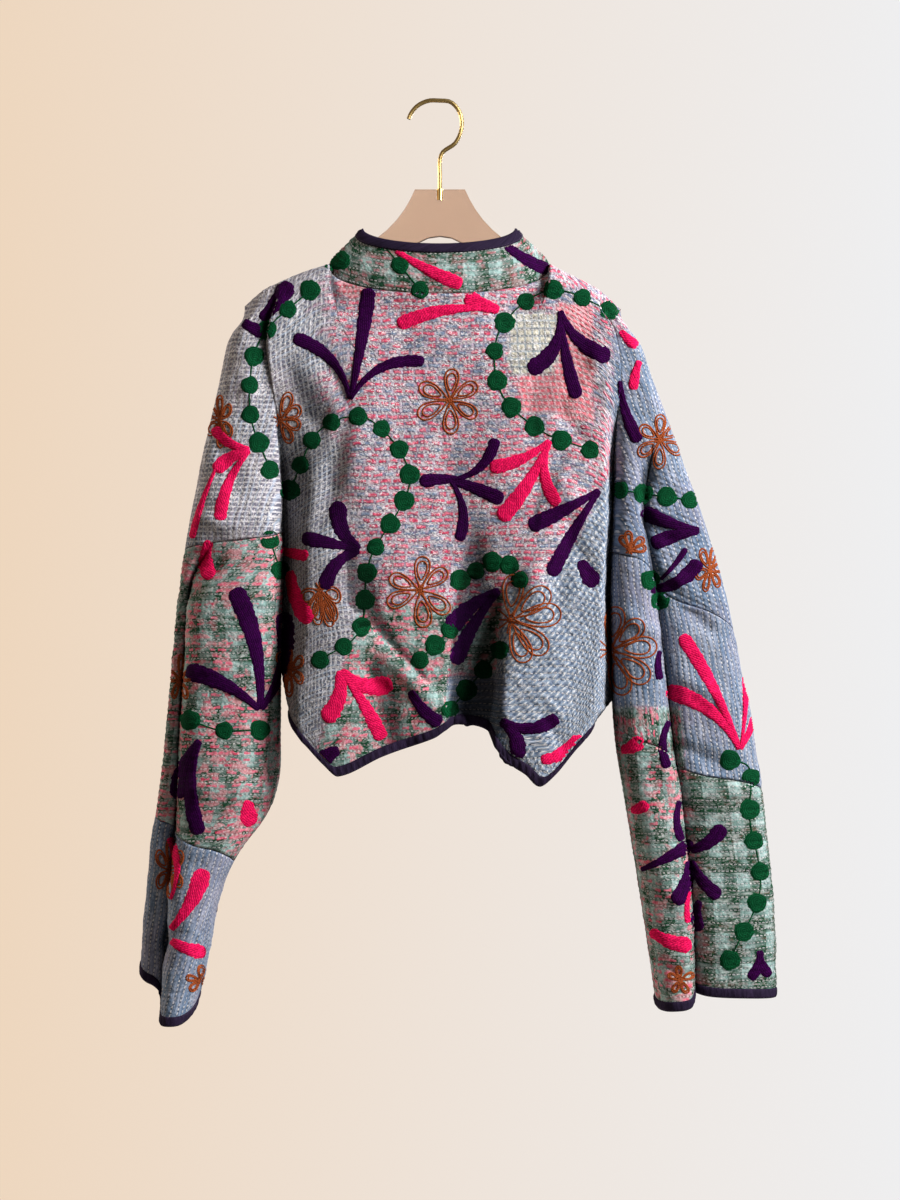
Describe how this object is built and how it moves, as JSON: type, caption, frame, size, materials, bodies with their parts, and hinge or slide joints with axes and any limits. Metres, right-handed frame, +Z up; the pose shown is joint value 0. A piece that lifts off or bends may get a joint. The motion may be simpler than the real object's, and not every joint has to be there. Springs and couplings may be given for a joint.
{
  "type": "quilted suzani jacket on a clear plate hanger",
  "caption": "Cropped quilted suzani jacket with batwing sleeves, stand collar and bound edges, hanging from a clear plate hanger with a brass wire hook.",
  "frame": {"origin": "under the crown of the hanger's hook, where it rests on a rail or peg", "axes": "+Z up, the jacket's back faces -Y and its open fronts face +Y, +X to the right seen from the back"},
  "size_m": [0.6602, 0.1221, 0.9539],
  "materials": {
    "quilt_back": "running-stitch quilted cotton in pale blue, pink and white, embroidered",
    "quilt_front": "running-stitch quilted cotton, embroidered",
    "quilt_plaid": "quilted green and aqua plaid cotton, embroidered",
    "quilt_indigo": "quilted grey-blue cotton with white running stitches",
    "binding": "dark aubergine cotton binding",
    "smoke_acrylic": "clear smoke-tinted acrylic, polished",
    "brass": "satin brass wire"
  },
  "bodies": {
    "root": {"back": "quilt_back", "front_left": "quilt_front", "front_right": "quilt_front", "sleeve_left_upper": "quilt_plaid", "sleeve_left_lower": "quilt_indigo", "sleeve_right_upper": "quilt_indigo", "sleeve_right_lower": "quilt_plaid", "collar": "quilt_plaid", "binding_collar": "binding", "binding_hem": "binding", "binding_cuff_left": "binding", "binding_cuff_right": "binding", "binding_front_left": "binding", "binding_front_right": "binding", "hanger_plate": "smoke_acrylic", "hanger_ferrule": "brass", "hanger_hook": "brass"}
  },
  "joints": []
}
